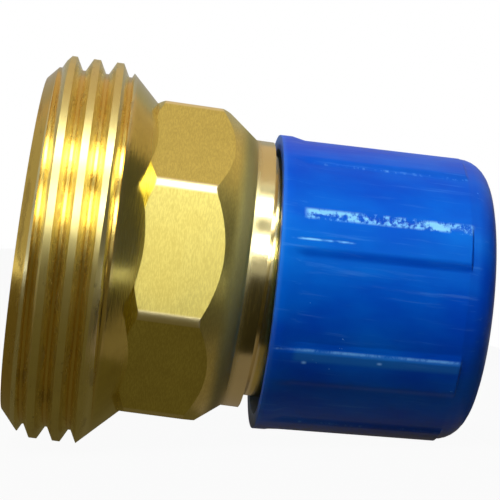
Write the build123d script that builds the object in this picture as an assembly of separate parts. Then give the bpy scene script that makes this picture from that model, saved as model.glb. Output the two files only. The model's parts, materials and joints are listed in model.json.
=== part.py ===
"""Inline water filter of a caravan: a turned brass fitting with a strainer basket in its inlet,
a non-return valve in its outlet and a loose push-on dust cap over the outlet thread.

Millimetres. The origin is the centre of the inlet end face. The finished part lies with its flow
axis along +X, from the large inlet thread to the outlet, and +Z up. Every piece is built upright
first, with the flow axis along +Z from the same origin, and laid down as it is written out: what
points along -X upright ends up on top. Heights and directions below are those of the upright piece.
"""
from build123d import *
import os
from math import ceil, cos, radians, tan

# Lengths along the flow axis, from the inlet face on
INLET_THREAD_LENGTH = 6.55  # to where its crest meets the shoulder cone
SHOULDER_LENGTH = 3.05
HEX_LENGTH = 8.9  # with its end cone, which meets the neck
NECK_LENGTH = 1.5
RELIEF_LENGTH = 0.4
OUTLET_THREAD_LENGTH = 17.1

# Inlet thread, M33 x 2
INLET_THREAD_RADIUS = 16.5
INLET_PITCH = 2.0
INLET_THREAD_DEPTH = 1.1
INLET_CREST_SHARE = 0.3  # of the pitch
INLET_CHAMFER_DEPTH = 2.1
INLET_CHAMFER_HEIGHT = 1.85
INLET_GROOVE_HEIGHT = 3.95  # of the groove's middle, straight along +X
SHOULDER_ANGLE = 44.0  # from the axis

# Octagonal spanner section
ACROSS_FLATS = 26.4
FLAT_ANGLE = -95.0  # direction of one flat's normal, about Z from +X
CORNER_ROUND = 1.0
START_CHAMFER_ANGLE = 45.0
END_CONE_ANGLE = 37.5

# Neck and outlet thread, G1/2
OUTLET_THREAD_RADIUS = 10.478
NECK_STEP = 1.122  # outside the outlet thread's crest
RELIEF_DEPTH = 1.178
OUTLET_PITCH = 1.814
OUTLET_THREAD_DEPTH = 1.16
OUTLET_CREST_SHARE = 0.2
OUTLET_CHAMFER = 1.1
ROOT_SHARE = 0.12  # width of both threads' flat roots, of the pitch
CUTTER_OVERSIZE = 0.2  # how far the thread cutter stands outside the crest

# Bores
INLET_WALL = 2.6  # inside the inlet thread's root
INLET_BORE_DEPTH = 8.0
MOUTH_CHAMFER = 0.4
STRAINER_WALL = 2.0  # inside the neck
NECK_FLOOR = 2.0  # between the strainer's bore and the neck's end
THROAT_STEP = 1.2  # inside the outlet's bore
THROAT_LENGTH = 1.2
OUTLET_WALL = 1.718  # inside the outlet thread's root

# Strainer basket
GASKET_THICKNESS = 1.0
COLLAR_THICKNESS = 1.2
COLLAR_CLEARANCE = 0.1
CORE_WALL = 0.8
BASKET_CLEARANCE = 0.7  # round the end cap
BASKET_END_GAP = 1.5
CORE_WINDOWS = 6
WINDOW_SHARE = 0.62  # of the core's circumference that is open
WINDOW_MARGIN = 1.2
MESH_THICKNESS = 0.3
BASKET_FIT = 0.05
END_CAP_THICKNESS = 0.9
END_CAP_OVERHANG = 0.35
CIRCLIP_THICKNESS = 1.0
CIRCLIP_GROOVE_DEPTH = 0.6
CIRCLIP_GROOVE_PLAY = 0.1
CIRCLIP_WIDTH = 2.0
LUG_RADIUS = 1.5
LUG_HOLE_RADIUS = 0.7
LUG_ANGLE = 14.0
CIRCLIP_GAP_ANGLE = 20.0

# Non-return valve cartridge
HOUSING_LENGTH = 11.0
HOUSING_CLEARANCE = 0.05
HOUSING_WALL = 1.65
SEAT_THICKNESS = 1.4
SEAT_LEDGE = 1.5
HOUSING_GROOVE_DEPTH = 0.9
HOUSING_GROOVE_WIDTH = 1.2
HOUSING_GROOVE_MIDDLE = 4.4  # from the housing's inlet end
O_RING_CLEARANCE = 0.02
GUIDE_SEAT_DEPTH = 2.4
GUIDE_STEP = 0.4
GUIDE_HUB_WALL = 1.05
GUIDE_HUB_LENGTH = 1.8
GUIDE_ARMS = 3
GUIDE_ARM_WIDTH = 1.2
GUIDE_RIM = 1.0
POPPET_CLEARANCE = 0.7  # round the head
POPPET_HEAD_THICKNESS = 1.2
NOSE_CLEARANCE = 0.6
POPPET_NOSE_LENGTH = 0.9
SEAL_THICKNESS = 0.4
SEAL_SEAT_GAP = 0.02
STEM_RADIUS = 1.2
STEM_CLEARANCE = 0.05
STEM_PAST_GUIDE = 1.4
SPRING_WIRE = 0.4
SPRING_CLEARANCE = 0.3  # round the guide's hub
SPRING_TURNS = 4
SPRING_END_GAP = 0.02
VALVE_CIRCLIP_THICKNESS = 0.8
VALVE_CIRCLIP_GROOVE_DEPTH = 0.5
VALVE_CIRCLIP_WIDTH = 1.4
VALVE_LUG_RADIUS = 1.1
VALVE_LUG_HOLE_RADIUS = 0.5
VALVE_LUG_ANGLE = 19.0
VALVE_CIRCLIP_GAP_ANGLE = 26.0

# Dust cap, which sits loose and a little askew on the outlet thread
CAP_LOOSENESS = 1.072  # round the outlet thread, at the rim
CAP_RIM_GAP = 0.5  # what the cap is short of the neck
CAP_DRAFT = 0.85  # degrees
CAP_WALL = 1.0
CAP_FLOOR = 1.2
CAP_EDGE_ROUND = 2.4
CAP_BEAD_HEIGHT = 0.25
CAP_BEAD_LENGTH = 2.2
CAP_TILT = 2.3  # degrees, its closed end towards -X
CAP_RIM_OFFSET = 0.45  # of the rim's centre, towards +X
CAP_SEAT_GAP = 0.05
RIB_HEIGHT = 0.22
RIB_ANGLE = 15.4
RIB_DIRECTIONS = (-153.0, -108.3, -58.0, -18.4)  # about Z from +X, and again half a turn round
RIB_START = 1.2
RIB_END_MARGIN = 2.3

# Places along the flow axis that follow from the sizes above
HEX_START = INLET_THREAD_LENGTH + SHOULDER_LENGTH
CONE_END = HEX_START + HEX_LENGTH
NECK_END = CONE_END + NECK_LENGTH
OUTLET_THREAD_START = NECK_END + RELIEF_LENGTH
BODY_LENGTH = OUTLET_THREAD_START + OUTLET_THREAD_LENGTH
STRAINER_BORE_END = NECK_END - NECK_FLOOR
OUTLET_BORE_START = STRAINER_BORE_END + THROAT_LENGTH
GASKET_START = INLET_BORE_DEPTH - GASKET_THICKNESS
COLLAR_START = GASKET_START - COLLAR_THICKNESS
CORE_END = STRAINER_BORE_END - BASKET_END_GAP - END_CAP_THICKNESS
CORE_LENGTH = CORE_END - GASKET_START
CAP_LENGTH = BODY_LENGTH - NECK_END + CAP_FLOOR - CAP_RIM_GAP

# Radii that follow from them
INLET_FACE_RADIUS = INLET_THREAD_RADIUS - INLET_CHAMFER_DEPTH
INLET_BORE_RADIUS = INLET_THREAD_RADIUS - INLET_THREAD_DEPTH - INLET_WALL
NECK_RADIUS = OUTLET_THREAD_RADIUS + NECK_STEP
STRAINER_BORE_RADIUS = NECK_RADIUS - STRAINER_WALL
OUTLET_BORE_RADIUS = OUTLET_THREAD_RADIUS - OUTLET_THREAD_DEPTH - OUTLET_WALL
MESH_OUTER_RADIUS = STRAINER_BORE_RADIUS - BASKET_CLEARANCE - END_CAP_OVERHANG
MESH_INNER_RADIUS = MESH_OUTER_RADIUS - MESH_THICKNESS
CORE_OUTER_RADIUS = MESH_INNER_RADIUS - BASKET_FIT
CORE_INNER_RADIUS = CORE_OUTER_RADIUS - CORE_WALL
CAP_RIM_RADIUS = OUTLET_THREAD_RADIUS + CAP_LOOSENESS + CAP_WALL

# The valve cartridge's places and radii
HOUSING_RADIUS = OUTLET_BORE_RADIUS - HOUSING_CLEARANCE
HOUSING_INNER_RADIUS = HOUSING_RADIUS - HOUSING_WALL
HOUSING_END = OUTLET_BORE_START + HOUSING_LENGTH
GUIDE_START = HOUSING_END - GUIDE_SEAT_DEPTH
GUIDE_SEAT_RADIUS = HOUSING_INNER_RADIUS + GUIDE_STEP
SEAT_FACE = OUTLET_BORE_START + SEAT_THICKNESS
HEAD_START = SEAT_FACE + SEAL_SEAT_GAP + SEAL_THICKNESS
HEAD_END = HEAD_START + POPPET_HEAD_THICKNESS
SEAT_RADIUS = HOUSING_INNER_RADIUS - SEAT_LEDGE
POPPET_HEAD_RADIUS = HOUSING_INNER_RADIUS - POPPET_CLEARANCE
POPPET_NOSE_RADIUS = SEAT_RADIUS - NOSE_CLEARANCE
GUIDE_HUB_RADIUS = STEM_RADIUS + STEM_CLEARANCE + GUIDE_HUB_WALL
SPRING_MEAN_RADIUS = GUIDE_HUB_RADIUS + SPRING_CLEARANCE + SPRING_WIRE / 2


def turned(outline):
    """A solid of revolution about Z, from a closed outline of (radius, height) points."""
    return revolve(make_face(Polyline(*[(r, 0, z) for r, z in outline], close=True)), Axis.Z)


def turned_with_splines(outline):
    """The same solid, with its cones kept as spline surfaces, which flats cut in spline edges."""
    corners = [(r, 0, z) for r, z in outline]
    edges = []
    for start, end in zip(corners, corners[1:] + corners[:1]):
        sloped = start[0] != end[0] and start[2] != end[2]
        edges.append(Bezier(start, end) if sloped else Line(start, end))
    return revolve(make_face(edges), Axis.Z)


def ring(inner, outer, start, end):
    """A plain flat-ended ring about Z."""
    return turned([(inner, start), (outer, start), (outer, end), (inner, end)])


def tooth_groove(crest_radius, pitch, depth, crest_share, start, turns):
    """The helical groove that cuts a right-handed thread, its middle along +X at height start."""
    root_radius = crest_radius - depth
    crest_half = pitch * (1 - crest_share) / 2
    root_half = pitch * ROOT_SHARE / 2
    outer_half = crest_half + CUTTER_OVERSIZE * (crest_half - root_half) / depth
    section = make_face(
        Polyline(
            (root_radius, 0, start - root_half),
            (crest_radius + CUTTER_OVERSIZE, 0, start - outer_half),
            (crest_radius + CUTTER_OVERSIZE, 0, start + outer_half),
            (root_radius, 0, start + root_half),
            close=True,
        )
    )
    starts = [start + turn * pitch for turn in range(turns)]
    path = Wire([Helix(pitch, pitch, root_radius, center=(0, 0, height)) for height in starts])
    return sweep(section, path, is_frenet=True)


def octagon_section():
    """The spanner section: eight flats, a chamfered start and a cone down to the neck."""
    corner_radius = ACROSS_FLATS / 2 / cos(radians(22.5))
    shoulder_radius = INLET_THREAD_RADIUS - SHOULDER_LENGTH * tan(radians(SHOULDER_ANGLE))
    start_radius = min(shoulder_radius, corner_radius)
    chamfer_top = HEX_START + (corner_radius - start_radius) / tan(radians(START_CHAMFER_ANGLE))
    cone_start = CONE_END - (corner_radius - NECK_RADIUS) / tan(radians(END_CONE_ANGLE))
    flats = Rot(0, 0, FLAT_ANGLE - 22.5) * RegularPolygon(corner_radius, 8)
    bar = Pos(0, 0, HEX_START) * extrude(flats, HEX_LENGTH)
    bar = fillet(bar.edges().filter_by(Axis.Z), CORNER_ROUND)
    turned_down = turned_with_splines(
        [
            (0, HEX_START),
            (start_radius, HEX_START),
            (corner_radius, chamfer_top),
            (corner_radius, cone_start),
            (NECK_RADIUS, CONE_END),
            (0, CONE_END),
        ]
    )
    return bar & turned_down


def turned_blank():
    """The fitting's turned outside, before its threads are cut."""
    shoulder_end = INLET_THREAD_LENGTH + (INLET_THREAD_RADIUS - NECK_RADIUS) / tan(radians(SHOULDER_ANGLE))
    relief_radius = OUTLET_THREAD_RADIUS - RELIEF_DEPTH
    return turned_with_splines(
        [
            (0, 0),
            (INLET_FACE_RADIUS, 0),
            (INLET_THREAD_RADIUS, INLET_CHAMFER_HEIGHT),
            (INLET_THREAD_RADIUS, INLET_THREAD_LENGTH),
            (NECK_RADIUS, shoulder_end),
            (NECK_RADIUS, NECK_END),
            (relief_radius, NECK_END),
            (relief_radius, OUTLET_THREAD_START),
            (OUTLET_THREAD_RADIUS, OUTLET_THREAD_START),
            (OUTLET_THREAD_RADIUS, BODY_LENGTH - OUTLET_CHAMFER),
            (OUTLET_THREAD_RADIUS - OUTLET_CHAMFER, BODY_LENGTH),
            (0, BODY_LENGTH),
        ]
    )


def waterway():
    """What the bores and the two circlip grooves take out of the fitting."""
    throat_radius = OUTLET_BORE_RADIUS - THROAT_STEP
    bores = turned(
        [
            (0, 0),
            (INLET_BORE_RADIUS + MOUTH_CHAMFER, 0),
            (INLET_BORE_RADIUS, MOUTH_CHAMFER),
            (INLET_BORE_RADIUS, INLET_BORE_DEPTH),
            (STRAINER_BORE_RADIUS, INLET_BORE_DEPTH),
            (STRAINER_BORE_RADIUS, STRAINER_BORE_END),
            (throat_radius, STRAINER_BORE_END),
            (throat_radius, OUTLET_BORE_START),
            (OUTLET_BORE_RADIUS, OUTLET_BORE_START),
            (OUTLET_BORE_RADIUS, BODY_LENGTH - MOUTH_CHAMFER),
            (OUTLET_BORE_RADIUS + MOUTH_CHAMFER, BODY_LENGTH),
            (0, BODY_LENGTH),
        ]
    )
    strainer_groove = ring(
        0,
        INLET_BORE_RADIUS + CIRCLIP_GROOVE_DEPTH,
        COLLAR_START - CIRCLIP_THICKNESS - CIRCLIP_GROOVE_PLAY,
        COLLAR_START,
    )
    valve_groove = ring(
        0,
        OUTLET_BORE_RADIUS + VALVE_CIRCLIP_GROOVE_DEPTH,
        HOUSING_END,
        HOUSING_END + VALVE_CIRCLIP_THICKNESS + CIRCLIP_GROOVE_PLAY,
    )
    return bores + strainer_groove + valve_groove


def filter_body():
    """The brass fitting: inlet thread, spanner octagon, neck and outlet thread, bored through."""
    turns_down = ceil(INLET_GROOVE_HEIGHT / INLET_PITCH) + 1
    turns_up = ceil((INLET_THREAD_LENGTH - INLET_GROOVE_HEIGHT) / INLET_PITCH)
    inlet_groove = tooth_groove(
        INLET_THREAD_RADIUS,
        INLET_PITCH,
        INLET_THREAD_DEPTH,
        INLET_CREST_SHARE,
        INLET_GROOVE_HEIGHT - turns_down * INLET_PITCH,
        turns_down + turns_up,
    )
    outlet_groove = tooth_groove(
        OUTLET_THREAD_RADIUS,
        OUTLET_PITCH,
        OUTLET_THREAD_DEPTH,
        OUTLET_CREST_SHARE,
        OUTLET_THREAD_START + OUTLET_PITCH / 2,
        ceil(OUTLET_THREAD_LENGTH / OUTLET_PITCH),
    )
    threaded = turned_blank() - inlet_groove - outlet_groove
    return threaded + octagon_section() - waterway()


def circlip(
    bore_radius, groove_depth, width, start, thickness, lug_radius, hole_radius, lug_angle, gap_angle
):
    """An internal circlip: an open flat ring with two drilled lugs beside its gap."""
    outer = bore_radius + groove_depth - COLLAR_CLEARANCE
    inner = bore_radius - width
    lug_centre = bore_radius - COLLAR_CLEARANCE - lug_radius
    gap_face = Pos(outer / 2 + inner / 2, 0) * Rectangle(width * 4, 2 * outer * tan(radians(gap_angle / 2)))
    flat = Circle(outer) - Circle(inner) - gap_face
    for side in (-1, 1):
        place = Rot(0, 0, side * lug_angle) * Pos(lug_centre, 0)
        flat = flat + place * Circle(lug_radius)
        flat = flat - place * Circle(hole_radius)
    return Pos(0, 0, start) * extrude(flat, thickness)


def strainer_circlip():
    """The circlip that holds the strainer basket in the inlet."""
    return circlip(
        INLET_BORE_RADIUS,
        CIRCLIP_GROOVE_DEPTH,
        CIRCLIP_WIDTH,
        COLLAR_START - CIRCLIP_THICKNESS,
        CIRCLIP_THICKNESS,
        LUG_RADIUS,
        LUG_HOLE_RADIUS,
        LUG_ANGLE,
        CIRCLIP_GAP_ANGLE,
    )


def strainer_collar():
    """The flat collar that carries the basket."""
    return ring(CORE_INNER_RADIUS, INLET_BORE_RADIUS - COLLAR_CLEARANCE, COLLAR_START, GASKET_START)


def strainer_gasket():
    """The flat seal between the collar and the bore's shoulder."""
    inner = (STRAINER_BORE_RADIUS + MESH_OUTER_RADIUS) / 2
    return ring(inner, INLET_BORE_RADIUS - COLLAR_CLEARANCE, GASKET_START, INLET_BORE_DEPTH)


def strainer_core():
    """The basket's cage: a tube with a row of windows."""
    tube = ring(CORE_INNER_RADIUS, CORE_OUTER_RADIUS, GASKET_START, CORE_END)
    window_height = CORE_LENGTH - 2 * WINDOW_MARGIN
    window_width = 2 * CORE_OUTER_RADIUS * tan(radians(180 * WINDOW_SHARE / CORE_WINDOWS))
    for turn in range(CORE_WINDOWS):
        window = Pos(CORE_OUTER_RADIUS, 0, GASKET_START + CORE_LENGTH / 2)
        window = window * Box(CORE_OUTER_RADIUS, window_width, window_height)
        tube = tube - Rot(0, 0, turn * 360 / CORE_WINDOWS) * window
    return tube


def strainer_mesh():
    """The woven sleeve round the cage."""
    return ring(MESH_INNER_RADIUS, MESH_OUTER_RADIUS, GASKET_START, CORE_END)


def strainer_end_cap():
    """The disc that closes the basket, with a spigot inside the cage."""
    spigot = CORE_INNER_RADIUS - BASKET_FIT
    return turned(
        [
            (0, CORE_END - WINDOW_MARGIN / 2),
            (spigot, CORE_END - WINDOW_MARGIN / 2),
            (spigot, CORE_END),
            (MESH_OUTER_RADIUS + END_CAP_OVERHANG, CORE_END),
            (MESH_OUTER_RADIUS + END_CAP_OVERHANG, CORE_END + END_CAP_THICKNESS),
            (0, CORE_END + END_CAP_THICKNESS),
        ]
    )


def valve_housing():
    """The cartridge that holds the non-return valve: seat, chamber and guide seat."""
    groove_middle = OUTLET_BORE_START + HOUSING_GROOVE_MIDDLE
    groove_radius = HOUSING_RADIUS - HOUSING_GROOVE_DEPTH
    return turned(
        [
            (SEAT_RADIUS, OUTLET_BORE_START),
            (HOUSING_RADIUS, OUTLET_BORE_START),
            (HOUSING_RADIUS, groove_middle - HOUSING_GROOVE_WIDTH / 2),
            (groove_radius, groove_middle - HOUSING_GROOVE_WIDTH / 2),
            (groove_radius, groove_middle + HOUSING_GROOVE_WIDTH / 2),
            (HOUSING_RADIUS, groove_middle + HOUSING_GROOVE_WIDTH / 2),
            (HOUSING_RADIUS, HOUSING_END),
            (GUIDE_SEAT_RADIUS, HOUSING_END),
            (GUIDE_SEAT_RADIUS, GUIDE_START),
            (HOUSING_INNER_RADIUS, GUIDE_START),
            (HOUSING_INNER_RADIUS, SEAT_FACE),
            (SEAT_RADIUS, SEAT_FACE),
        ]
    )


def housing_o_ring():
    """The O-ring in the housing's outer groove."""
    groove_radius = HOUSING_RADIUS - HOUSING_GROOVE_DEPTH
    section_radius = (OUTLET_BORE_RADIUS - groove_radius) / 2 - O_RING_CLEARANCE
    height = OUTLET_BORE_START + HOUSING_GROOVE_MIDDLE
    return Pos(0, 0, height) * Torus(groove_radius + section_radius + O_RING_CLEARANCE, section_radius)


def valve_guide():
    """The spider that guides the poppet's stem and carries the spring."""
    rim_outer = GUIDE_SEAT_RADIUS - BASKET_FIT
    rim = ring(rim_outer - GUIDE_RIM, rim_outer, GUIDE_START, HOUSING_END)
    hub = ring(0, GUIDE_HUB_RADIUS, GUIDE_START, GUIDE_START + GUIDE_HUB_LENGTH)
    arm_length = rim_outer - GUIDE_RIM / 2
    for turn in range(GUIDE_ARMS):
        arm = Pos(arm_length / 2, 0, GUIDE_START + GUIDE_HUB_LENGTH / 2)
        arm = arm * Box(arm_length, GUIDE_ARM_WIDTH, GUIDE_HUB_LENGTH)
        hub = hub + Rot(0, 0, turn * 360 / GUIDE_ARMS) * arm
    return rim + hub - ring(0, STEM_RADIUS + STEM_CLEARANCE, GUIDE_START, HOUSING_END)


def valve_poppet():
    """The moving disc of the non-return valve, with its nose and stem."""
    stem_end = GUIDE_START + GUIDE_HUB_LENGTH + STEM_PAST_GUIDE
    return turned(
        [
            (0, HEAD_START - SEAL_THICKNESS - POPPET_NOSE_LENGTH),
            (POPPET_NOSE_RADIUS, HEAD_START - SEAL_THICKNESS - POPPET_NOSE_LENGTH),
            (POPPET_NOSE_RADIUS, HEAD_START),
            (POPPET_HEAD_RADIUS, HEAD_START),
            (POPPET_HEAD_RADIUS, HEAD_END),
            (STEM_RADIUS, HEAD_END),
            (STEM_RADIUS, stem_end),
            (0, stem_end),
        ]
    )


def poppet_seal():
    """The flat seal round the poppet's nose, which closes on the seat."""
    inner = POPPET_NOSE_RADIUS + O_RING_CLEARANCE
    return ring(inner, POPPET_HEAD_RADIUS, HEAD_START - SEAL_THICKNESS, HEAD_START)


def valve_spring():
    """The compression spring between the poppet's head and the guide."""
    start = HEAD_END + SPRING_WIRE / 2 + SPRING_END_GAP
    end = GUIDE_START - SPRING_WIRE / 2 - SPRING_END_GAP
    path = Helix((end - start) / SPRING_TURNS, end - start, SPRING_MEAN_RADIUS, center=(0, 0, start))
    section = Plane(origin=path @ 0, z_dir=path % 0) * Circle(SPRING_WIRE / 2)
    return sweep(section, path, is_frenet=True)


def valve_circlip():
    """The circlip that holds the valve cartridge in the outlet."""
    return circlip(
        OUTLET_BORE_RADIUS,
        VALVE_CIRCLIP_GROOVE_DEPTH,
        VALVE_CIRCLIP_WIDTH,
        HOUSING_END,
        VALVE_CIRCLIP_THICKNESS,
        VALVE_LUG_RADIUS,
        VALVE_LUG_HOLE_RADIUS,
        VALVE_LUG_ANGLE,
        VALVE_CIRCLIP_GAP_ANGLE,
    )


def cap_radius(height):
    """The cap's outer radius at a height above its rim, without the bead."""
    return CAP_RIM_RADIUS - height * tan(radians(CAP_DRAFT))


def cap_rib(direction):
    """One low rib along the cap's side."""
    end = CAP_LENGTH - RIB_END_MARGIN
    outline = [
        (cap_radius(RIB_START) - CAP_WALL / 2, RIB_START),
        (cap_radius(RIB_START) + RIB_HEIGHT, RIB_START),
        (cap_radius(end) + RIB_HEIGHT, end),
        (cap_radius(end) - CAP_WALL / 2, end),
    ]
    face = make_face(Polyline(*[(r, 0, z) for r, z in outline], close=True))
    return Rot(0, 0, direction - RIB_ANGLE / 2) * revolve(face, Axis.Z, RIB_ANGLE)


def cap_shell():
    """The cap's drafted cup with a bead at its rim and a rounded closed end."""
    outside = turned(
        [
            (0, 0),
            (CAP_RIM_RADIUS + CAP_BEAD_HEIGHT, 0),
            (cap_radius(CAP_BEAD_LENGTH / 2) + CAP_BEAD_HEIGHT, CAP_BEAD_LENGTH / 2),
            (cap_radius(CAP_BEAD_LENGTH), CAP_BEAD_LENGTH),
            (cap_radius(CAP_LENGTH), CAP_LENGTH),
            (0, CAP_LENGTH),
        ]
    )
    outside = fillet(outside.edges().group_by(Axis.Z)[-1], CAP_EDGE_ROUND)
    floor = CAP_LENGTH - CAP_FLOOR
    inside = turned(
        [
            (0, 0),
            (CAP_RIM_RADIUS - CAP_WALL, 0),
            (cap_radius(floor) - CAP_WALL, floor),
            (0, floor),
        ]
    )
    inside = fillet(inside.edges().group_by(Axis.Z)[-1], CAP_EDGE_ROUND - CAP_FLOOR)
    return outside - inside


def outlet_cap():
    """The loose dust cap over the outlet thread, askew as it rests on the outlet's end."""
    cap = cap_shell()
    for direction in RIB_DIRECTIONS:
        cap = cap + cap_rib(direction) + cap_rib(direction + 180)
    end_radius = OUTLET_THREAD_RADIUS - OUTLET_CHAMFER
    floor_height = BODY_LENGTH + end_radius * tan(radians(CAP_TILT)) + CAP_SEAT_GAP
    rim_height = floor_height - (CAP_LENGTH - CAP_FLOOR) * cos(radians(CAP_TILT))
    return Pos(CAP_RIM_OFFSET, 0, rim_height) * Rot(0, -CAP_TILT, 0) * cap


PIECES = (
    filter_body,
    strainer_circlip,
    strainer_collar,
    strainer_gasket,
    strainer_core,
    strainer_mesh,
    strainer_end_cap,
    valve_housing,
    housing_o_ring,
    valve_guide,
    valve_poppet,
    poppet_seal,
    valve_spring,
    valve_circlip,
    outlet_cap,
)

LAID_DOWN = Rot(0, 90, 0)  # turns +Z to +X and -X to +Z

os.makedirs("parts", exist_ok=True)
for piece in PIECES:
    export_step(LAID_DOWN * piece(), f"parts/{piece.__name__}.step")
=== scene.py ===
"""Studio scene of a caravan's inline water filter.

The brass fitting, its strainer and its valve come from the shared frame and get their finishes here.
The dust cap, the woven strainer sleeve and the valve's spring are modelled here over their plain solids.
Lengths are metres. +X is the flow axis, +Z is up and the viewer stands on the -Y side.
"""

import json
import logging
import math
from dataclasses import dataclass, field
from enum import Enum
from typing import Callable, Iterable, Sequence

import bpy
from mathutils import Matrix, Vector


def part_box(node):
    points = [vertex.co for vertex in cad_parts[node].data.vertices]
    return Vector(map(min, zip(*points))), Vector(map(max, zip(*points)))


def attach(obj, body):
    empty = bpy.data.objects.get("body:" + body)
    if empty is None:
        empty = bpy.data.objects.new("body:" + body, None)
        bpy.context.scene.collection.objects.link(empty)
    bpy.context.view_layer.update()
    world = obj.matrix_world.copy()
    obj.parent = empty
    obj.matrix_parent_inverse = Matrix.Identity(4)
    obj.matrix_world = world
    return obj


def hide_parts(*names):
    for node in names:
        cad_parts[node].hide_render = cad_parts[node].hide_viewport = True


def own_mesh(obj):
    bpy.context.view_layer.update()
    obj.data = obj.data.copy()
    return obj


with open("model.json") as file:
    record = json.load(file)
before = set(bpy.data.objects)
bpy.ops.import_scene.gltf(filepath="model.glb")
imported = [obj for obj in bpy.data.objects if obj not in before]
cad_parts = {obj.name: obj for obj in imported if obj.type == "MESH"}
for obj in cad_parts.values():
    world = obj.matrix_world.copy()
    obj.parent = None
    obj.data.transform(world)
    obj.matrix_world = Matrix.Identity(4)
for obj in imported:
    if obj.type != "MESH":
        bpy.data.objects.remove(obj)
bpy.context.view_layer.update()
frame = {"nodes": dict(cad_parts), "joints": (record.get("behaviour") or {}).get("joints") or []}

LOG = logging.getLogger("water_filter")
MM = 0.001
TOUCH = 0.001 * MM

Colour = tuple[float, float, float]
Place = tuple[float, float, float]
Span = tuple[float, float]
WHITE: Colour = (1.0, 1.0, 1.0)


# ---------------------------------------------------------------- shader maths


class Number:
    """A shader socket that carries one number, so that Python expressions add Math nodes."""

    def __init__(self, tree: bpy.types.NodeTree, socket: bpy.types.NodeSocket) -> None:
        """Wraps a socket.

        Args:
            tree: the node tree that the socket belongs to.
            socket: an output socket with one number.
        """
        self.tree = tree
        self.socket = socket

    def math(self, operation: str, *others: "Number | float", swap: bool = False) -> "Number":
        """Adds one Math node.

        Args:
            operation: the Math node's operation.
            others: the other operands, sockets or plain numbers.
            swap: put the other operand first.

        Returns:
            The node's result.
        """
        node = self.tree.nodes.new("ShaderNodeMath")
        node.operation = operation
        operands = [self, *others]
        if swap:
            operands.reverse()
        for entry, operand in zip(node.inputs, operands):
            if isinstance(operand, Number):
                self.tree.links.new(operand.socket, entry)
            else:
                entry.default_value = operand
        return Number(self.tree, node.outputs[0])

    def __add__(self, other: "Number | float") -> "Number":
        """Sum."""
        return self.math("ADD", other)

    __radd__ = __add__

    def __mul__(self, other: "Number | float") -> "Number":
        """Product."""
        return self.math("MULTIPLY", other)

    __rmul__ = __mul__

    def __sub__(self, other: "Number | float") -> "Number":
        """Difference."""
        return self.math("SUBTRACT", other)

    def __rsub__(self, other: float) -> "Number":
        """Difference from a plain number."""
        return self.math("SUBTRACT", other, swap=True)

    def __pow__(self, other: float) -> "Number":
        """Power."""
        return self.math("POWER", other)

    def clamped(self) -> "Number":
        """Keeps the value between 0 and 1.

        Returns:
            The kept value.
        """
        result = self.math("ADD", 0.0)
        result.socket.node.use_clamp = True
        return result

    def ramp(self, low: float, high: float) -> "Number":
        """A smooth step from 0 at low to 1 at high, or downwards when low is above high.

        Args:
            low: the value that gives 0.
            high: the value that gives 1.

        Returns:
            The step.
        """
        node = self.tree.nodes.new("ShaderNodeMapRange")
        node.interpolation_type = "SMOOTHSTEP"
        ends = (low, high, 0.0, 1.0) if low < high else (high, low, 1.0, 0.0)
        for name, end in zip(("From Min", "From Max", "To Min", "To Max"), ends):
            node.inputs[name].default_value = end
        self.tree.links.new(self.socket, node.inputs["Value"])
        return Number(self.tree, node.outputs["Result"])

    def band(self, low: float, high: float, soft: float) -> "Number":
        """1 between two values and 0 outside them.

        Args:
            low: the band's lower edge.
            high: the band's upper edge.
            soft: the width of each edge.

        Returns:
            The band's mask.
        """
        return self.ramp(low - soft, low + soft) * self.ramp(high + soft, high - soft)


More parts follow.
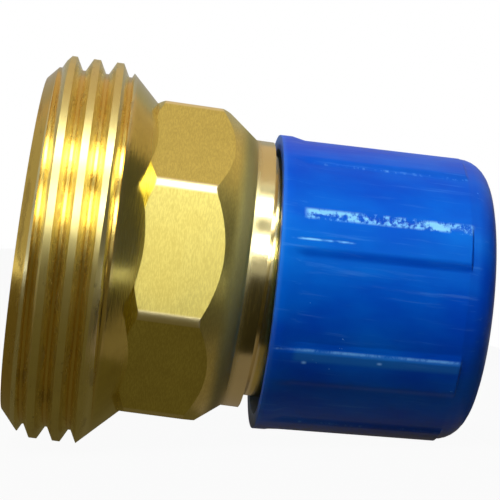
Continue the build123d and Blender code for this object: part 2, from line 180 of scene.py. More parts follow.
class Surface:
    """One material under construction, with a Principled shader at its end."""

    def __init__(self, name: str) -> None:
        """Starts a material.

        Args:
            name: the material's name.
        """
        self.material = bpy.data.materials.new(name)
        self.material.use_nodes = True
        self.tree = self.material.node_tree
        self.shader = self.tree.nodes["Principled BSDF"]
        self.place = self.node("ShaderNodeTexCoord", {}).outputs["Object"]

    def node(self, kind: str, settings: dict, inputs: dict | None = None) -> bpy.types.Node:
        """Adds any node but a Math node.

        Args:
            kind: the node's type.
            settings: its properties, set before its sockets.
            inputs: values, numbers or sockets by socket name or index.

        Returns:
            The node.
        """
        made = self.tree.nodes.new(kind)
        for name, value in settings.items():
            setattr(made, name, value)
        for key, value in (inputs or {}).items():
            self.feed(made.inputs[key], value)
        return made

    def feed(self, entry: bpy.types.NodeSocket, value: object) -> None:
        """Links or sets one input socket.

        Args:
            entry: the input.
            value: a Number, a socket, a colour or a plain number.
        """
        if isinstance(value, Number):
            self.tree.links.new(value.socket, entry)
        elif isinstance(value, bpy.types.NodeSocket):
            self.tree.links.new(value, entry)
        elif isinstance(value, tuple) and len(value) == 3 and entry.type == "RGBA":
            entry.default_value = (*value, 1.0)
        else:
            entry.default_value = value

    def number(self, socket: bpy.types.NodeSocket) -> Number:
        """Wraps an output for maths."""
        return Number(self.tree, socket)

    def noise(self, scale: Sequence[float], detail: float = 3.0, rough: float = 0.55) -> Number:
        """Fractal noise in object coordinates, about 0.5 on average.

        Args:
            scale: repeats per metre along X, Y and Z.
            detail: octaves.
            rough: weight of the finer octaves.

        Returns:
            The noise.
        """
        stretch = {"Vector": self.place, "Scale": Vector(scale)}
        place = self.node("ShaderNodeMapping", {}, stretch).outputs["Vector"]
        entries = {"Vector": place, "Scale": 1.0, "Detail": detail, "Roughness": rough}
        return self.number(self.node("ShaderNodeTexNoise", {}, entries).outputs["Fac"])

    def axes(self, place: bpy.types.NodeSocket | None = None) -> tuple[Number, Number, Number]:
        """The three coordinates as numbers.

        Args:
            place: coordinates, the object's own by default.

        Returns:
            X, Y and Z in metres.
        """
        split = self.node("ShaderNodeSeparateXYZ", {}, {"Vector": place or self.place})
        return tuple(self.number(split.outputs[axis]) for axis in "XYZ")

    def mix(self, factor: Number | float, first: object, second: object) -> bpy.types.NodeSocket:
        """Blends two colours.

        Args:
            factor: 0 gives the first, 1 the second.
            first: a colour or a colour socket.
            second: a colour or a colour socket.

        Returns:
            The blended colour.
        """
        made = self.node("ShaderNodeMix", {"data_type": "RGBA"})
        self.feed(made.inputs[0], factor)
        self.feed(made.inputs[6], first)
        self.feed(made.inputs[7], second)
        return made.outputs[2]

    def bump(self, layers: Iterable[tuple[Number, float]]) -> None:
        """Stacks bump layers on the shader's normal.

        Args:
            layers: each layer's height and how far it stands out in metres.
        """
        normal = None
        for height, reach in layers:
            entries = {"Height": height, "Distance": reach, "Strength": 1.0}
            made = self.node("ShaderNodeBump", {}, entries)
            if normal is not None:
                self.feed(made.inputs["Normal"], normal)
            normal = made.outputs["Normal"]
        self.feed(self.shader.inputs["Normal"], normal)

    def finish(self, **values: object) -> bpy.types.Material:
        """Sets the shader's sockets.

        Args:
            values: socket values by name, with underscores for spaces.

        Returns:
            The material.
        """
        for name, value in values.items():
            self.feed(self.shader.inputs[name.replace("_", " ")], value)
        return self.material

    def output(self, socket: bpy.types.NodeSocket) -> bpy.types.Material:
        """Puts another shader at the material's end.

        Args:
            socket: the shader's output.

        Returns:
            The material.
        """
        self.feed(self.tree.nodes["Material Output"].inputs["Surface"], socket)
        return self.material


# ---------------------------------------------------------------- finishes


@dataclass(frozen=True)
class Brass:
    """Turned brass: crests pale partly from polish and partly from a painted highlight, painted
    highlights on the corners, dark roots, brushed flats, a paler neck and a painted reflection of the
    cap on the end cone.
    """

    gold: Colour = (0.81, 0.70, 0.195)
    shade: Colour = (0.46, 0.34, 0.060)
    flank: Colour = (0.92, 0.82, 0.46)
    grime: Colour = (0.10, 0.045, 0.012)
    pale: Colour = (0.93, 0.82, 0.50)
    # Painted reflection of the blue cap: a darker olive-grey for the end cone before the neck.
    painted_cap_reflection: Colour = (0.15, 0.16, 0.09)
    root: Colour = (0.74, 0.52, 0.11)
    root_radius: float = 15.7 * MM
    crest_radius: float = 16.42 * MM
    groove_radius: float = 15.38 * MM
    groove_edge: float = 15.50 * MM
    shoulder_start: float = 7.6 * MM
    octagon_start: float = 9.6 * MM
    octagon_end: float = 18.0 * MM
    corner_radius: float = 14.12 * MM
    neck_start: float = 18.5 * MM
    neck_end: float = 20.6 * MM
    painted_reflection_width: float = 1.3 * MM

    def build(self) -> bpy.types.Material:
        """Makes the material.

        Returns:
            The material.
        """
        s = Surface("turned_brass")
        x, y, z = s.axes()
        radius = (y * y + z * z) ** 0.5
        cloud = s.noise((190, 190, 190), 4.0, 0.6).ramp(0.40, 0.70)
        patches = s.noise((1500, 260, 260), 4.0, 0.65).ramp(0.52, 0.68)
        specks = s.noise((2600, 1500, 1500), 2.0).ramp(0.60, 0.70)
        marks = s.noise((6500, 420, 420), 3.0, 0.6)
        fine = s.noise((11000, 2400, 2400), 2.0, 0.6)
        in_thread = x.ramp(self.shoulder_start + 0.4 * MM, self.shoulder_start - 0.4 * MM)
        crest = radius.ramp(self.root_radius, self.crest_radius) * in_thread
        # The rounded corners between the flats get a painted highlight in the pale colour.
        corner = radius.ramp(self.corner_radius - 0.05 * MM, self.corner_radius + 0.04 * MM)
        corner = corner * x.band(self.octagon_start, self.octagon_end, 0.2 * MM)
        neck = x.band(self.neck_start, self.neck_end, 0.1 * MM)
        # Band on the end cone before the neck that gets the painted reflection of the cap.
        painted_light_band = x.band(self.neck_start - self.painted_reflection_width, self.neck_start, 0.6 * MM)
        flat = x.band(self.octagon_start, self.octagon_end, 0.5 * MM) * (1 - corner)
        dirt = (1 - crest) * in_thread * patches
        shaded = cloud * 0.30 + specks * 0.12 + (1 - flat) * 0.32
        colour = s.mix(shaded.clamped(), self.gold, self.shade)
        colour = s.mix((1 - crest) * in_thread * 0.9, colour, self.flank)
        groove = radius.ramp(self.groove_edge, self.groove_radius) * in_thread
        colour = s.mix(groove, colour, self.root)
        # Crests are paler partly from polish and partly from a painted highlight. The corners are paler
        # only as a painted highlight.
        colour = s.mix((crest * 0.28 + corner * 0.7 + neck * 0.62).clamped(), colour, self.pale)
        colour = s.mix(flat * fine.ramp(0.62, 0.42) * 0.30, colour, self.shade)
        # Painted reflection of the cap: darkens the end cone's band.
        colour = s.mix(painted_light_band * 0.75, colour, self.painted_cap_reflection)
        soiled = dirt * 0.38 + crest * patches * specks * 0.5
        colour = s.mix(soiled.clamped(), colour, self.grime)
        rough = 0.14 + flat * 0.13 + crest * 0.13 + corner * 0.20 + painted_light_band * 0.30
        rough = rough + cloud * 0.06 + dirt * 0.15 + marks * 0.06
        s.bump([(marks, 0.010 * MM), (fine, 0.004 * MM)])
        return s.finish(Base_Color=colour, Metallic=1.0, Roughness=rough)


@dataclass(frozen=True)
class MouldedPlastic:
    """A plain moulded plastic with a fine skin texture."""

    name: str
    colour: Colour
    roughness: float = 0.4
    mottle: float = 0.12

    def build(self) -> bpy.types.Material:
        """Makes the material.

        Returns:
            The material.
        """
        s = Surface(self.name)
        cloud = s.noise((260, 260, 260), 3.0)
        grain = s.noise((4200, 4200, 4200), 2.0)
        darker = tuple(channel * (1 - 2 * self.mottle) for channel in self.colour)
        colour = s.mix(cloud, darker, self.colour)
        s.bump([(grain, 0.004 * MM)])
        return s.finish(Base_Color=colour, Roughness=cloud * 0.15 + self.roughness)


@dataclass(frozen=True)
class SpringSteel:
    """Bright drawn or stamped spring steel."""

    name: str = "spring_steel"
    colour: Colour = (0.58, 0.57, 0.55)
    stained: Colour = (0.30, 0.26, 0.21)

    def build(self) -> bpy.types.Material:
        """Makes the material.

        Returns:
            The material.
        """
        s = Surface(self.name)
        lines = s.noise((900, 4000, 900), 3.0)
        stain = s.noise((400, 400, 400), 3.0).ramp(0.5, 0.75)
        colour = s.mix(stain, self.colour, self.stained)
        s.bump([(lines, 0.006 * MM)])
        return s.finish(Base_Color=colour, Metallic=1.0, Roughness=lines * 0.15 + 0.25)


@dataclass(frozen=True)
class CapPlastic:
    """The dust cap's blue plastic, rubbed pale along the edges of its ribs, with painted highlights on
    the rib edges, a painted lit face below the lower ledge and a painted shadow under the first rib.
    """

    blue: Colour = (0.0, 0.090, 0.56)
    deep: Colour = (0.0, 0.045, 0.47)
    # Pale blue of real rubbing, also used for the painted highlights.
    rubbed_and_highlight: Colour = (0.24, 0.60, 0.98)
    # Painted light: the lit teal face below the lower ledge.
    painted_lit_face: Colour = (0.02, 0.17, 0.52)
    # Painted shadow under the first rib's lower edge.
    painted_rib_shadow: Colour = (0.0, 0.03, 0.42)
    gloss_tint: Colour = (0.05, 0.8, 0.8)
    tilt: float = 2.3
    rim_x: float = 20.94 * MM
    rim_z: float = -0.45 * MM
    rib_start: float = 2.0 * MM
    rib_end: float = 15.7 * MM

    def cap_axes(self, s: Surface) -> tuple[Number, Number]:
        """Where a point is along and round the cap.

        Args:
            s: the material.

        Returns:
            The distance from the rim in metres, and the angle in degrees from 0 to 180, from the front
            upwards. The cap's ribs repeat half a turn round.
        """
        local = s.node(
            "ShaderNodeMapping",
            {"vector_type": "TEXTURE"},
            {
                "Vector": s.place,
                "Location": Vector((self.rim_x, 0, self.rim_z)),
                "Rotation": Vector((0, -math.radians(self.tilt), 0)),
            },
        ).outputs["Vector"]
        along, y, z = s.axes(local)
        turned = z.math("ARCTAN2", y * -1.0) * math.degrees(1) + 360.0
        return along, turned.math("MODULO", 180.0)

    def build(self) -> bpy.types.Material:
        """Makes the material.

        Returns:
            The material.
        """
        s = Surface("cap_plastic")
        along, angle = self.cap_axes(s)
        cloud = s.noise((110, 200, 200), 3.0)
        streaks = s.noise((160, 2300, 2300), 4.0, 0.6)
        hatch = s.noise((2100, 1300, 1300), 4.0, 0.7)
        coarse = s.noise((420, 700, 700), 3.0)
        ribbed = along.band(self.rib_start, self.rib_end, 0.3 * MM)
        # Scuffing along the first rib's upper edge: real wear that also carries a painted highlight.
        scuff_and_glint = angle.band(26.6, 31.0, 0.8) * ribbed
        scuff_and_glint = scuff_and_glint * (hatch * 0.6 + coarse * 0.6).ramp(0.54, 0.68)
        # Painted highlight: a thin bright line along the first rib.
        thin_highlight = angle.band(17.9, 18.5, 0.35) * along.band(1.3 * MM, 6.0 * MM, 0.6 * MM)
        thin_highlight = thin_highlight * coarse.ramp(0.42, 0.56)
        # Painted highlight: the bright edge of the lower ledge.
        ledge_highlight = angle.band(156.3, 157.0, 0.4) * along.band(0.4 * MM, self.rib_end, 0.3 * MM)
        ledge_highlight = ledge_highlight * (hatch + coarse).ramp(0.7, 1.2)
        # Painted highlights along the edges of the other ribs.
        others = (angle.band(54.8, 55.8, 0.5) + angle.band(115.4, 116.4, 0.5)) * ribbed
        others = others * (hatch * 0.5 + coarse * 0.5).ramp(0.50, 0.62)
        # Band below the lower ledge that gets a painted lit face.
        painted_light_band = angle.band(152.1, 156.8, 1.0) * ribbed
        # Band under the first rib's lower edge that gets a painted shadow.
        rib_shadow_band = angle.band(9.6, 13.0, 1.2) * ribbed
        specks = s.noise((1500, 2600, 2600), 2.0).ramp(0.765, 0.79)
        rim = along.ramp(0.45 * MM, 0.1 * MM)
        nicks = along.band(2.75 * MM, 3.05 * MM, 0.15 * MM) * angle.band(151.2, 152.1, 0.5)
        nicks = nicks + along.band(8.9 * MM, 9.2 * MM, 0.15 * MM) * angle.band(153.3, 154.1, 0.4)
        # Real wear, specks and nicks mixed with the painted highlights on the rib edges.
        wear_and_highlights = scuff_and_glint * 0.95 + thin_highlight * 0.9 + ledge_highlight * 0.5 + others * 0.35
        wear_and_highlights = (wear_and_highlights + specks * 0.35 + nicks * 0.8 + rim * 0.06).clamped()
        colour = s.mix(cloud.ramp(0.3, 0.7), self.deep, self.blue)
        colour = s.mix(streaks.ramp(0.55, 0.75) * 0.07, colour, self.rubbed_and_highlight)
        # Painted shadow under the first rib.
        colour = s.mix(rib_shadow_band * 0.25, colour, self.painted_rib_shadow)
        # Painted light on the band below the lower ledge.
        colour = s.mix(painted_light_band * 0.55, colour, self.painted_lit_face)
        # Rubbed pale where worn, and painted highlights on the rib edges.
        colour = s.mix(wear_and_highlights, colour, self.rubbed_and_highlight)
        s.bump([(streaks, 0.010 * MM), (cloud, 0.06 * MM), (hatch * scuff_and_glint, 0.05 * MM)])
        rough = streaks * 0.2 + wear_and_highlights * 0.2 + 0.30
        s.finish(Specular_IOR_Level=0.30, Specular_Tint=self.gloss_tint)
        return s.finish(Base_Color=colour, Roughness=rough)


# ---------------------------------------------------------------- the studio


@dataclass
class Studio:
    """Camera, floor, lamps and cards round the object."""

    focal_ratio: float = 3.6
    axis_distance: float = 155.4 * MM
    face_right: float = -19.34 * MM
    face_up: float = 0.60 * MM
    axis_fall: float = 7.9
    axis_swing: float = 4.0
    sensor: float = 36.0
    thread_radius: float = 16.5 * MM
    floor_slope: float = 8.2
    floor_start: float = 6.5 * MM
    floor_crest: float = 41.0 * MM
    floor_reach: float = 2.0
    shade_start: float = 18.6 * MM
    shade_edge: float = -12.5 * MM
    aim: Place = (20 * MM, 0.0, 0.0)
    tent: float = 0.60
    tent_top: float = 0.40
    tent_foot: float = -0.05
    panel_away: float = 0.50
    panel_half: float = 0.45
    screen_away: float = 0.85
    cream: Colour = (1.0, 0.97, 0.90)
    umber: Colour = (1.0, 0.82, 0.34)
    sand: Colour = (1.0, 0.80, 0.60)
    dusk: Colour = (1.0, 0.77, 0.55)

    def place_camera(self) -> None:
        """Makes the camera that looks along +Y, with the flow axis falling to the right."""
        fall, swing = math.radians(self.axis_fall), math.radians(self.axis_swing)
        flow = Vector(
            (math.cos(swing) * math.cos(fall), -math.cos(swing) * math.sin(fall), -math.sin(swing))
        )
        back = Vector((0, 0, 1))
        across = -(back - flow * back.dot(flow)).normalized()
        up = flow.cross(across)
        to_camera = Matrix((flow, across, up)).transposed()
        face = Vector((self.face_right, self.face_up, -self.axis_distance))
        turn = to_camera.transposed()
        data = bpy.data.cameras.new("camera")
        data.sensor_width = self.sensor
        data.lens = self.focal_ratio * self.sensor
        data.clip_start = 0.01
        camera = bpy.data.objects.new("camera", data)
        camera.matrix_world = Matrix.Translation(-(turn @ face)) @ turn.to_4x4()
        bpy.context.scene.collection.objects.link(camera)
        bpy.context.scene.camera = camera

    def light_world(self) -> None:
        """White where it is seen or mirrored, and a dim fill elsewhere."""
        world = bpy.data.worlds.new("studio")
        world.use_nodes = True
        bpy.context.scene.world = world
        tree = world.node_tree
        path = tree.nodes.new("ShaderNodeLightPath")
        seen = Number(tree, path.outputs["Is Camera Ray"])
        seen = seen.math("MAXIMUM", Number(tree, path.outputs["Is Glossy Ray"]))
        seen = seen.math("MAXIMUM", Number(tree, path.outputs["Is Transmission Ray"]))
        strength = seen * 0.97 + 0.03
        background = tree.nodes["Background"]
        background.inputs["Color"].default_value = (1, 1, 1, 1)
        tree.links.new(strength.socket, background.inputs["Strength"])

    def floor_height(self, x: float) -> float:
        """The floor's height at a distance along X: it rises to the crest and falls beyond it."""
        rise = min(x, self.floor_crest) - self.floor_start - max(0.0, x - self.floor_crest)
        return -self.thread_radius + rise * math.tan(math.radians(self.floor_slope))

    def floor_corners(self, along: Span, across: Span, lift: float = 0.0) -> list[Vector]:
        """Corners of one stretch of the floor.

        Args:
            along: where it starts and ends along X.
            across: where it starts and ends along Y.
            lift: its height above the floor.

        Returns:
            The corners in turn.
        """
        (start, end), (near, far) = along, across
        places = [(start, near), (end, near), (end, far), (start, far)]
        return [Vector((x, y, self.floor_height(x) + lift)) for x, y in places]

    def add_sheet(
        self, name: str, corners: Sequence[Sequence[float]], material: bpy.types.Material
    ) -> bpy.types.Object:
        """Adds one flat four-cornered sheet.

        Args:
            name: the sheet's name.
            corners: its corners in turn, in metres.
            material: its finish.

        Returns:
            The sheet.
        """
        bpy.ops.mesh.primitive_plane_add(size=1.0, location=(0, 0, 0))
        sheet = bpy.context.object
        sheet.name = name
        for index, corner in zip((0, 1, 3, 2), corners):
            sheet.data.vertices[index].co = corner
        sheet.data.materials.append(material)
        return sheet

    def lay_floor(self) -> None:
        """A pale floor that touches the inlet thread and the cap, as the part lies on it."""
        s = Surface("pale_floor")
        path = s.node("ShaderNodeLightPath", {})
        mirrored = s.number(path.outputs["Is Glossy Ray"])
        seen = s.number(path.outputs["Is Camera Ray"]).math("MAXIMUM", mirrored)
        glow = s.node("ShaderNodeEmission", {}, {"Color": WHITE, "Strength": 1.0})
        s.finish(Base_Color=(0.18, 0.18, 0.18), Roughness=1.0, Specular_IOR_Level=0.0)
        ends = {0: seen * 0.95, 1: s.shader.outputs[0], 2: glow.outputs[0]}
        s.output(s.node("ShaderNodeMixShader", {}, ends).outputs[0])
        reach, crest = self.floor_reach, self.floor_crest
        for name, along in (("floor", (-reach, crest)), ("floor_beyond", (crest, reach))):
            self.add_sheet(name, self.floor_corners(along, (-reach, reach)), s.material)

    def add_lamp(self, name: str, place: Vector, size: float, power: float) -> None:
        """Adds one soft lamp that faces the object and that no reflection shows.

        Args:
            name: the lamp's name.
            place: where it stands.
            size: its side length.
            power: watts.
        """
        data = bpy.data.lights.new(name, "AREA")
        data.size = size
        data.energy = power
        lamp = bpy.data.objects.new(name, data)
        lamp.visible_glossy = False
        turn = (place - Vector(self.aim)).to_track_quat("Z", "Y")
        lamp.matrix_world = Matrix.Translation(place) @ turn.to_matrix().to_4x4()
        bpy.context.scene.collection.objects.link(lamp)

    def add_card(
        self, name: str, corners: Sequence[Sequence[float]], shine: float, tint: Colour
    ) -> None:
        """Adds one card that only reflections see.

        Args:
            name: the card's name.
            corners: its four corners in turn, in metres.
            shine: how bright it looks, where 1 is white.
            tint: its colour.
        """
        s = Surface(name)
        glow = s.node("ShaderNodeEmission", {}, {"Color": tint, "Strength": shine})
        card = self.add_sheet(name, corners, s.output(glow.outputs[0]))
        for kind in ("camera", "diffuse", "shadow", "transmission"):
            setattr(card, f"visible_{kind}", False)

    def panel(self, away: float, half: float, low: float, high: float) -> list[Place]:
        """Corners of a soft panel in front of the object.

        Args:
            away: its distance from the origin.
            half: half its width.
            low: its lower edge's elevation in degrees.
            high: its upper edge's elevation in degrees.

        Returns:
            The corners in turn.
        """
        corners = []
        for turn, sides in ((low, (-half, half)), (high, (half, -half))):
            y, z = -math.cos(math.radians(turn)) * away, math.sin(math.radians(turn)) * away
            corners += [(x, y, z) for x in sides]
        return corners

    def hang_cards(self) -> None:
        """A tent of dim cards, with two bright panels in front that the brass mirrors."""
        low, top, side = self.tent_foot, self.tent_top, self.tent
        left_front, right_front = (-side, -side), (side, -side)
        left_back, right_back = (-side, side), (side, side)
        under_cap = (self.shade_start, self.floor_crest)
        for name, along, across, shine, tint in (
            ("mat_card", (-side, self.shade_start), (-side, side), 0.11, self.umber),
            ("shade_card", under_cap, (-side, self.shade_edge), 0.02, self.umber),
            ("sand_card", under_cap, (self.shade_edge, side), 0.20, self.sand),
            ("mat_card_beyond", (self.floor_crest, side), (-side, side), 0.05, self.umber),
        ):
            self.add_card(name, self.floor_corners(along, across, 0.05 * MM), shine, tint)
        for name, start, end, height, shine in (
            ("front_card", left_front, right_front, 0.01, 0.06),
            ("right_card", right_front, right_back, top, 0.08),
            ("back_card", right_back, left_back, top, 0.40),
            ("left_card", left_back, left_front, top, 0.45),
        ):
            corners = [(*start, low), (*end, low), (*end, height), (*start, height)]
            self.add_card(name, corners, shine, self.cream)
        for name, angles, shine in (("low_panel", (19, 34), 6.0), ("high_panel", (52, 67), 8.0)):
            self.add_card(name, self.panel(self.panel_away, self.panel_half, *angles), shine, WHITE)
        screen = self.panel(self.screen_away, self.screen_away, 1, 80)
        self.add_card("screen", screen, 0.40, self.cream)
        roof = [(-side, low, top), (side, low, top), (*right_back, top), (*left_back, top)]
        self.add_card("roof_card", roof, 0.62, self.dusk)

    def build(self) -> None:
        """Builds the whole studio."""
        self.place_camera()
        self.light_world()
        self.lay_floor()
        self.hang_cards()
        self.add_lamp("key", Vector((-0.10, -0.26, 0.32)), 0.20, 2.3)
        self.add_lamp("back", Vector((0.12, 0.36, 0.22)), 0.25, 0.5)
        bpy.context.scene.view_settings.view_transform = "Standard"


# ---------------------------------------------------------------- the object


class Group(Enum):
    """The sets of frame nodes that share a finish."""

    FITTING = ("filter_body",)
    STEEL = ("strainer_circlip", "valve_circlip")
    BLACK = ("strainer_collar", "strainer_core", "strainer_end_cap")
    PALE = ("valve_housing", "valve_guide", "valve_poppet")
    RUBBER = ("strainer_gasket", "housing_o_ring", "poppet_seal")


def dress(group: Group, material: bpy.types.Material) -> None:
    """Gives a group of frame nodes one material.

    Args:
        group: the nodes.
        material: their finish.
    """
    for name in group.value:
        mesh = frame["nodes"][name].data
        mesh.materials.clear()
        mesh.materials.append(material)
        LOG.info("%s gets %s", name, material.name)


def edit(piece: bpy.types.Object) -> None:
    """Opens one piece for editing, with nothing selected in it.

    Args:
        piece: the piece.
    """
    bpy.ops.object.select_all(action="DESELECT")
    bpy.context.view_layer.objects.active = piece
    piece.select_set(True)
    bpy.ops.object.mode_set(mode="EDIT")
    bpy.ops.mesh.select_all(action="DESELECT")


def choose(piece: bpy.types.Object, test: Callable[[Vector], bool]) -> None:
    """Selects the vertices that pass a test, and nothing else.

    Args:
        piece: the piece, open for editing.
        test: says whether a place is wanted.
    """
    bpy.ops.mesh.select_mode(type="VERT")
    bpy.ops.mesh.select_all(action="DESELECT")
    bpy.ops.object.mode_set(mode="OBJECT")
    for vertex in piece.data.vertices:
        vertex.select = test(vertex.co)
    bpy.ops.object.mode_set(mode="EDIT")


def mend(reach: float) -> None:
    """Joins the open piece's doubled vertices and turns every face outwards.

    Args:
        reach: how far apart two vertices that are joined may be.
    """
    bpy.ops.mesh.select_all(action="SELECT")
    bpy.ops.mesh.remove_doubles(threshold=reach)
    bpy.ops.mesh.normals_make_consistent(inside=False)


def grow(steps: Sequence[tuple[float, float]], start: tuple[float, float]) -> None:
    """Extrudes the selected ring along a profile about the X axis.

    Args:
        steps: where each new ring stands along X, and its radius.
        start: where the selected ring stands, and its radius.
    """
    place, radius = start
    for new_place, new_radius in steps:
        bpy.ops.mesh.extrude_region_move(TRANSFORM_OT_translate={"value": (new_place - place, 0, 0)})
        scale = new_radius / radius
        bpy.ops.transform.resize(value=(1, scale, scale), center_override=(0, 0, 0))
        place, radius = new_place, new_radius


@dataclass
class DustCap:
    """The push-on cap: a drafted cup with a bead, eight low ribs and a rounded closed end."""

    length: float = 18.2 * MM
    rim_radius: float = 12.55 * MM
    draft: float = 0.85
    wall: float = 1.0 * MM
    floor: float = 1.2 * MM
    edge_round: float = 2.4 * MM
    inner_round: float = 1.2 * MM
    bead: float = 0.25 * MM
    bead_top: float = 1.1 * MM
    bead_end: float = 2.2 * MM
    rib_height: float = 0.22 * MM
    rib_end: float = 15.7 * MM
    rib_slope: int = 3
    rib_angles: tuple[float, ...] = (20.9, 64.0, 108.4, 149.3)
    rib_half_angle: float = 7.7
    softness: float = 0.09 * MM
    segments: int = 360
    round_steps: int = 8
    rim_place: Vector = field(default_factory=lambda: Vector((20.9404 * MM, 0, -0.45 * MM)))
    tilt: float = 2.3

    def side_radius(self, along: float) -> float:
        """The side's outer radius at a distance from the rim."""
        return self.rim_radius - along * math.tan(math.radians(self.draft))

    def rounded(self, end: float, radius: float, bend: float) -> list[tuple[float, float]]:
        """Rings of a rounded edge between a side and an end face.

        Args:
            end: where the end face stands.
            radius: the side's radius at the end face.
            bend: the edge's rounding radius.

        Returns:
            The rings from the side to the end face.
        """
        start, core = end - bend, radius - bend
        turns = [math.pi / 2 * step / self.round_steps for step in range(self.round_steps + 1)]
        return [(start + bend * math.sin(turn), core + bend * math.cos(turn)) for turn in turns]

    def close(self, end: float, radius: float) -> None:
        """Closes the last ring with a flat disc.

        Args:
            end: where the ring stands.
            radius: its radius.
        """
        grow([(end, radius * 0.5), (end, radius * 0.1)], (end, radius))
        bpy.ops.mesh.merge(type="CENTER")

    def shape_cup(self) -> bpy.types.Object:
        """Makes the cup, its rim at X = 0 and its closed end towards +X.

        Returns:
            The cup, open for editing.
        """
        inner = self.rim_radius - self.wall
        bpy.ops.mesh.primitive_circle_add(
            vertices=self.segments, radius=inner, location=(0, 0, 0), rotation=(0, math.pi / 2, 0)
        )
        cup = bpy.context.object
        bpy.ops.object.transform_apply(rotation=True)
        edit(cup)
        bpy.ops.mesh.select_all(action="SELECT")
        side = [
            (0.0, self.rim_radius + self.bead),
            (self.bead_top, self.side_radius(self.bead_top) + self.bead),
            (self.bead_end, self.side_radius(self.bead_end)),
            (self.rib_end - self.rib_height, self.side_radius(self.rib_end - self.rib_height)),
            (self.rib_end, self.side_radius(self.rib_end)),
        ]
        end_radius = self.side_radius(self.length)
        bend = self.rounded(self.length, end_radius, self.edge_round)
        grow(side + bend, (0.0, inner))
        self.close(self.length, end_radius - self.edge_round)
        choose(cup, lambda place: abs(place.x) < 1e-6 and math.hypot(place.y, place.z) < inner + 1e-5)
        inner_end = self.length - self.floor
        inner_radius = self.side_radius(inner_end) - self.wall
        grow(self.rounded(inner_end, inner_radius, self.inner_round), (0.0, inner))
        self.close(inner_end, inner_radius - self.inner_round)
        return cup

    def on_rib(self, place: Vector, half_angle: float) -> bool:
        """Whether a place on the cup's outside belongs to a rib.

        Args:
            place: the place.
            half_angle: half the rib's width round the cap in degrees.

        Returns:
            True on a rib.
        """
        outside = math.hypot(place.y, place.z) > self.side_radius(place.x) - self.wall / 2
        angle = math.degrees(math.atan2(place.z, -place.y)) % 180
        near = any(abs((angle - rib + 90) % 180 - 90) < half_angle for rib in self.rib_angles)
        return outside and near and self.bead_end - 0.01 * MM < place.x < self.rib_end

    def raise_ribs(self, cup: bpy.types.Object) -> None:
        """Raises the ribs out of the cup's side, each step a little narrower than the one below it.

        Args:
            cup: the cup, open for editing.
        """
        scale = 1 + self.rib_height / self.rib_slope / self.rim_radius
        for step in range(self.rib_slope):
            half_angle = self.rib_half_angle + 1 - step
            choose(cup, lambda place: self.on_rib(place, half_angle))
            bpy.ops.transform.resize(value=(1, scale, scale), center_override=(0, 0, 0))
        mend(0.03 * MM)

    def build(self, material: bpy.types.Material) -> None:
        """Makes the cap and puts it over the outlet.

        Args:
            material: its finish.
        """
        cap = self.shape_cup()
        self.raise_ribs(cap)
        bpy.ops.object.mode_set(mode="OBJECT")
        cap.name = "dust_cap"
        soften = cap.modifiers.new("soften", "BEVEL")
        soften.width = self.softness
        soften.segments = 2
        soften.limit_method = "ANGLE"
        soften.angle_limit = math.radians(40)
        bpy.ops.object.modifier_apply(modifier="soften")
        turn = Matrix.Rotation(-math.radians(self.tilt), 4, "Y")
        cap.data.transform(Matrix.Translation(self.rim_place) @ turn)
        bpy.ops.object.shade_smooth_by_angle(angle=math.radians(35))
        cap.data.materials.append(material)
        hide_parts("outlet_cap")
        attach(cap, "cap")
        LOG.info("%s has %d faces", cap.name, len(cap.data.polygons))


@dataclass
class StrainerSleeve:
    """The woven steel sleeve round the strainer's cage."""

    wires: int = 96
    rings: int = 16
    wire: float = 0.22 * MM

    def build(self, material: bpy.types.Material) -> None:
        """Makes the sleeve's wires over the plain sleeve.

        Args:
            material: its finish.
        """
        low, high = (Vector(corner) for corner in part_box("strainer_mesh"))
        radius = (high.z - low.z) / 2 - self.wire * 0.75
        start, end = low.x + self.wire / 2, high.x - self.wire / 2
        bpy.ops.mesh.primitive_circle_add(
            vertices=self.wires, radius=radius, location=(0, 0, 0), rotation=(0, math.pi / 2, 0)
        )
        sleeve = bpy.context.object
        bpy.ops.object.transform_apply(rotation=True)
        sleeve.name = "woven_sleeve"
        edit(sleeve)
        bpy.ops.mesh.select_all(action="SELECT")
        bpy.ops.transform.translate(value=(start, 0, 0))
        step = (end - start) / self.rings
        grow([(start + step * (ring + 1), radius) for ring in range(self.rings)], (start, radius))
        bpy.ops.mesh.select_all(action="SELECT")
        bpy.ops.mesh.normals_make_consistent(inside=False)
        bpy.ops.object.mode_set(mode="OBJECT")
        weave = sleeve.modifiers.new("weave", "WIREFRAME")
        weave.thickness = self.wire
        weave.use_even_offset = False
        weave.use_boundary = True
        bpy.ops.object.modifier_apply(modifier="weave")
        edit(sleeve)
        mend(TOUCH)
        bpy.ops.object.mode_set(mode="OBJECT")
        bpy.ops.object.shade_smooth()
        sleeve.data.materials.append(material)
        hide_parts("strainer_mesh")
        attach(sleeve, "fitting")
        LOG.info("%s has %d faces", sleeve.name, len(sleeve.data.polygons))


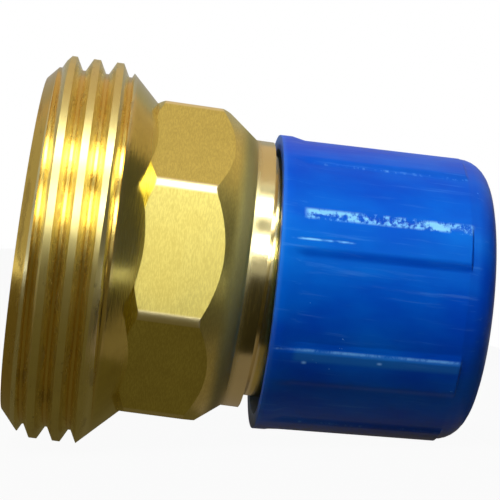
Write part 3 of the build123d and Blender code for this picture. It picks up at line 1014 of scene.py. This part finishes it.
@dataclass
class ReturnSpring:
    """The valve's coil spring, wound at its full length."""

    wire: float = 0.4 * MM
    turns: int = 4
    facets: int = 12
    steps: int = 32
    joint: str = "valve_lift"

    def travel(self) -> float:
        """How far the valve opens."""
        return next(joint["range_m"][1] for joint in frame["joints"] if joint["name"] == self.joint)

    def build(self, material: bpy.types.Material) -> None:
        """Winds the spring over the plain one.

        Args:
            material: its finish.
        """
        low, high = (Vector(corner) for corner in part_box("valve_spring"))
        radius = (high.z - low.z) / 2 - self.wire / 2
        start, end = low.x + self.wire / 2, high.x - self.wire / 2
        bpy.ops.object.select_all(action="DESELECT")
        bpy.ops.mesh.primitive_circle_add(
            vertices=self.facets,
            radius=self.wire / 2,
            location=(start, 0, radius),
            rotation=(math.pi / 2, 0, 0),
        )
        spring = bpy.context.object
        spring.name = "return_spring"
        bpy.ops.object.transform_apply(location=True, rotation=True)
        coil = spring.modifiers.new("coil", "SCREW")
        coil.axis = "X"
        coil.angle = math.tau
        coil.iterations = self.turns
        coil.screw_offset = (end - start) / self.turns
        coil.steps = coil.render_steps = self.steps
        bpy.ops.object.modifier_apply(modifier="coil")
        edit(spring)
        bpy.ops.mesh.select_all(action="SELECT")
        bpy.ops.mesh.remove_doubles(threshold=TOUCH)
        bpy.ops.mesh.fill_holes(sides=0)
        bpy.ops.mesh.select_all(action="SELECT")
        bpy.ops.mesh.normals_make_consistent(inside=False)
        bpy.ops.object.mode_set(mode="OBJECT")
        bpy.ops.object.shade_smooth_by_angle(angle=math.radians(40))
        spring.data.materials.append(material)
        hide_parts("valve_spring")
        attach(spring, "fitting")
        keep = 1 - self.travel() / (high.x - low.x)
        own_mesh(spring)
        faces = len(spring.data.polygons)
        LOG.info("%s has %d faces and keeps %.2f of its length", spring.name, faces, keep)


def main() -> None:
    """Builds the studio, models the cap, the sleeve and the spring, and dresses the rest."""
    logging.basicConfig(level=logging.INFO)
    bpy.ops.object.select_all(action="DESELECT")
    Studio().build()
    DustCap().build(CapPlastic().build())
    StrainerSleeve().build(SpringSteel("steel_wire", (0.62, 0.62, 0.60)).build())
    steel = SpringSteel().build()
    ReturnSpring().build(steel)
    dress(Group.FITTING, Brass().build())
    dress(Group.STEEL, steel)
    dress(Group.BLACK, MouldedPlastic("black_moulding", (0.035, 0.035, 0.038)).build())
    dress(Group.PALE, MouldedPlastic("pale_moulding", (0.78, 0.77, 0.72)).build())
    dress(Group.RUBBER, MouldedPlastic("seal_rubber", (0.018, 0.018, 0.018), 0.6).build())


if __name__ == "__main__":
    main()
